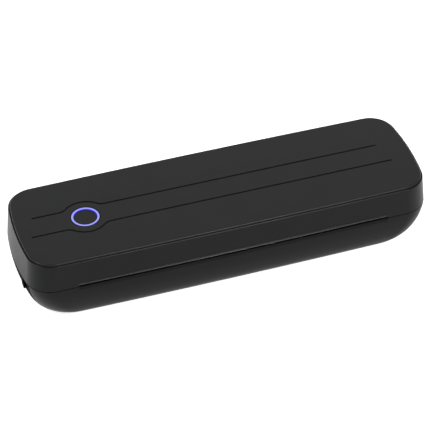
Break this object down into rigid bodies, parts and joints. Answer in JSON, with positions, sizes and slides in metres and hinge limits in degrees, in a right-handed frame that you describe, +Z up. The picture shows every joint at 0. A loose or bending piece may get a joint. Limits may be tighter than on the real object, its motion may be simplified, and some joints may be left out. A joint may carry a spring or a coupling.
{
  "type": "a4 portable thermal printer",
  "caption": "Slim portable printer for A4 thermal paper: hinged lid with platen roller, long front paper slot, rear paper inlet, ringed power button and side lock tab.",
  "frame": {"origin": "centre of the overall box, on the surface the rubber feet stand on", "axes": "+X to the printer's right along its length, +Y to the rear where paper goes in, +Z up"},
  "size_m": [0.286, 0.0848, 0.0537],
  "materials": {
    "casing": "fine satin grain",
    "panel": "fine satin grain",
    "trim": "polished",
    "light_guide": "milky, lit from behind",
    "foot_rubber": "matt",
    "roller_rubber": "ground matt",
    "steel": "ground",
    "plated_sheet": "zinc plated sheet",
    "screws": "blackened",
    "gear_plastic": "natural acetal",
    "pinion_brass": "cut",
    "tray_plastic": "fine grain",
    "head_ceramic": "glazed",
    "head_metal": "extruded",
    "cell_wrap": "shrink film",
    "circuit_board": "solder mask",
    "component_black": "moulded",
    "connector_white": "moulded",
    "contact_metal": "plated spring",
    "ribbon_film": "flexible flat conductor"
  },
  "bodies": {
    "base": {"base_shell": "casing", "end_plate": "trim", "foot_front_left": "foot_rubber", "foot_front_right": "foot_rubber", "foot_rear_left": "foot_rubber", "foot_rear_right": "foot_rubber", "hinge_pin_left": "steel", "hinge_pin_right": "steel", "side_frame_left": "plated_sheet", "side_frame_right": "plated_sheet", "frame_screws": "screws", "idler_pins": "steel", "stepper_motor": "plated_sheet", "head_pivot_pin_left": "steel", "head_pivot_pin_right": "steel", "spring_rail": "plated_sheet", "head_springs": "steel", "roll_tray": "tray_plastic", "paper_sensor": "component_black", "battery_holder": "tray_plastic", "battery_cell_1": "cell_wrap", "battery_cell_2": "cell_wrap", "battery_contacts": "contact_metal", "main_board": "circuit_board", "board_screws": "screws", "processor": "component_black", "radio_module": "plated_sheet", "usb_socket": "plated_sheet", "board_connector": "connector_white", "head_ribbon": "ribbon_film"},
    "lid": {"lid_shell": "casing", "top_panel": "panel", "light_ring": "light_guide", "button_board": "circuit_board", "button_board_screws": "screws", "button_switch": "component_black", "platen_bracket_left": "plated_sheet", "platen_bracket_right": "plated_sheet", "platen_bushing_left": "gear_plastic", "platen_bushing_right": "gear_plastic", "bracket_screws": "screws", "tear_bar": "steel"},
    "button": {"power_button": "trim", "switch_plunger": "component_black"},
    "platen": {"platen_shaft": "steel", "platen_roller": "roller_rubber", "platen_gear": "gear_plastic"},
    "idler_upper": {"idler_gear_upper": "gear_plastic"},
    "idler_lower": {"idler_gear_lower": "gear_plastic"},
    "rotor": {"motor_shaft": "steel", "motor_pinion": "pinion_brass"},
    "head": {"head_carrier": "head_metal", "print_head_strip": "head_ceramic", "head_connector": "connector_white"},
    "lock": {"lock_shaft": "steel", "lock_hook_left": "plated_sheet", "lock_hook_right": "plated_sheet", "lock_lever": "trim"}
  },
  "joints": [
    {"name": "lid_hinge", "type": "hinge", "parent": "base", "child": "lid", "pos_m": [0, 0.03845, 0.0305], "axis": [-1, 0, 0], "range_deg": [0, 70]},
    {"name": "lock_turn", "type": "hinge", "parent": "base", "child": "lock", "pos_m": [0, -0.03605, 0.026], "axis": [-1, 0, 0], "range_deg": [0, 10]},
    {"name": "head_pivot", "type": "hinge", "parent": "base", "child": "head", "pos_m": [0, -0.01885, 0.0286], "axis": [1, 0, 0], "range_deg": [0, 3], "stiffness_Nm_per_rad": 0.72, "springref_deg": -4.58, "deforming": ["head_springs"]},
    {"name": "button_press", "type": "slide", "parent": "lid", "child": "button", "axis": [0, 0, -1], "range_m": [0, 0.0005], "stiffness_N_per_m": 1500, "springref_m": -0.0005},
    {"name": "platen_spin", "type": "hinge", "parent": "lid", "child": "platen", "pos_m": [0, -0.02735, 0.0372], "axis": [1, 0, 0], "continuous": true},
    {"name": "idler_upper_spin", "type": "hinge", "parent": "base", "child": "idler_upper", "pos_m": [0, -0.02846, 0.02626], "axis": [1, 0, 0], "continuous": true},
    {"name": "idler_lower_spin", "type": "hinge", "parent": "base", "child": "idler_lower", "pos_m": [0, -0.02381, 0.01629], "axis": [1, 0, 0], "continuous": true},
    {"name": "rotor_spin", "type": "hinge", "parent": "base", "child": "rotor", "pos_m": [0, -0.01566, 0.01248], "axis": [1, 0, 0], "continuous": true}
  ],
  "couplings": [
    {"joint": "idler_upper_spin", "follows": "platen_spin", "ratio": -1.2},
    {"joint": "idler_lower_spin", "follows": "platen_spin", "ratio": 1},
    {"joint": "rotor_spin", "follows": "platen_spin", "ratio": -2}
  ]
}
